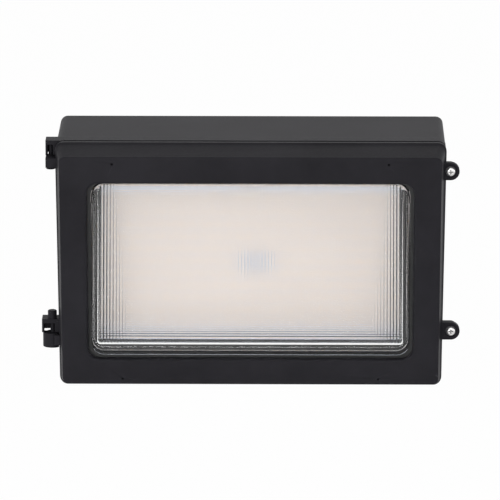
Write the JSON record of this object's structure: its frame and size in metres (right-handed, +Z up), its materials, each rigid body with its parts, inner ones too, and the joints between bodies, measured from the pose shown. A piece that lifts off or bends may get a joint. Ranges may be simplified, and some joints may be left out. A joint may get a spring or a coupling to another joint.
{
  "type": "LED wall pack light",
  "caption": "Dark die-cast outdoor wall light with a side-hinged door, a wedge-shaped prismatic glass and a flat LED board behind it.",
  "frame": {"origin": "centre of the housing's back face, which lies on the wall", "axes": "+X to the right as seen from the front, +Y into the wall, +Z up; the glass faces -Y"},
  "size_m": [0.3899, 0.1772, 0.2338],
  "materials": {
    "powder_coat": "satin, dark bronze-grey powder coat on die-cast aluminium",
    "gasket_rubber": "matt black silicone rubber",
    "sheet_aluminium": "satin mill finish",
    "zinc_steel": "zinc-plated steel",
    "board_white": "white solder mask on an aluminium-core board",
    "led_phosphor": "yellow phosphor over each LED",
    "connector_plastic": "off-white nylon",
    "driver_plastic": "black moulded plastic",
    "terminal_brass": "bright brass",
    "earth_green": "green dyed zinc plating",
    "lead_insulation": "PVC insulation",
    "lens_glass": "clear pressed borosilicate, prismatic inside",
    "stainless": "bright stainless steel"
  },
  "bodies": {
    "housing": {"back_housing": "powder_coat", "rim_gasket": "gasket_rubber", "entry_plugs": "powder_coat", "entry_plug_rings": "gasket_rubber", "led_tray": "sheet_aluminium", "tray_screws": "zinc_steel", "led_board": "board_white", "leds": "led_phosphor", "board_screws": "zinc_steel", "board_connector": "connector_plastic", "driver_case": "sheet_aluminium", "driver_end_caps": "driver_plastic", "driver_screws": "zinc_steel", "terminal_block": "connector_plastic", "terminal_screws": "terminal_brass", "ground_screw": "earth_green", "board_leads": "lead_insulation", "supply_leads": "lead_insulation", "hinge_pin": "powder_coat"},
    "door": {"door_frame": "powder_coat", "upper_hinge_stub": "zinc_steel", "glass_lens": "lens_glass", "lens_gasket": "gasket_rubber", "lens_clips": "zinc_steel", "clip_screws": "zinc_steel"},
    "upper_washer": {"upper_screw_washer": "stainless"},
    "upper_screw": {"upper_door_screw": "stainless"},
    "lower_washer": {"lower_screw_washer": "stainless"},
    "lower_screw": {"lower_door_screw": "stainless"}
  },
  "joints": [
    {"name": "door_hinge", "type": "hinge", "parent": "housing", "child": "door", "pos_m": [-0.1855, -0.097, 0], "axis": [0, 0, -1], "range_deg": [0, 110]},
    {"name": "upper_screw_slide", "type": "slide", "parent": "door", "child": "upper_washer", "axis": [0, -1, 0], "range_m": [0, 0.0091]},
    {"name": "upper_screw_spin", "type": "hinge", "parent": "upper_washer", "child": "upper_screw", "pos_m": [0.185, -0.1128, 0.0905], "axis": [0, -1, 0], "range_deg": [0, 4680]},
    {"name": "lower_screw_slide", "type": "slide", "parent": "door", "child": "lower_washer", "axis": [0, -1, 0], "range_m": [0, 0.0091]},
    {"name": "lower_screw_spin", "type": "hinge", "parent": "lower_washer", "child": "lower_screw", "pos_m": [0.1866, -0.1128, -0.0627], "axis": [0, -1, 0], "range_deg": [0, 4680]}
  ],
  "couplings": [
    {"joint": "upper_screw_spin", "follows": "upper_screw_slide", "rad_per_m": 8975},
    {"joint": "lower_screw_spin", "follows": "lower_screw_slide", "rad_per_m": 8975}
  ]
}
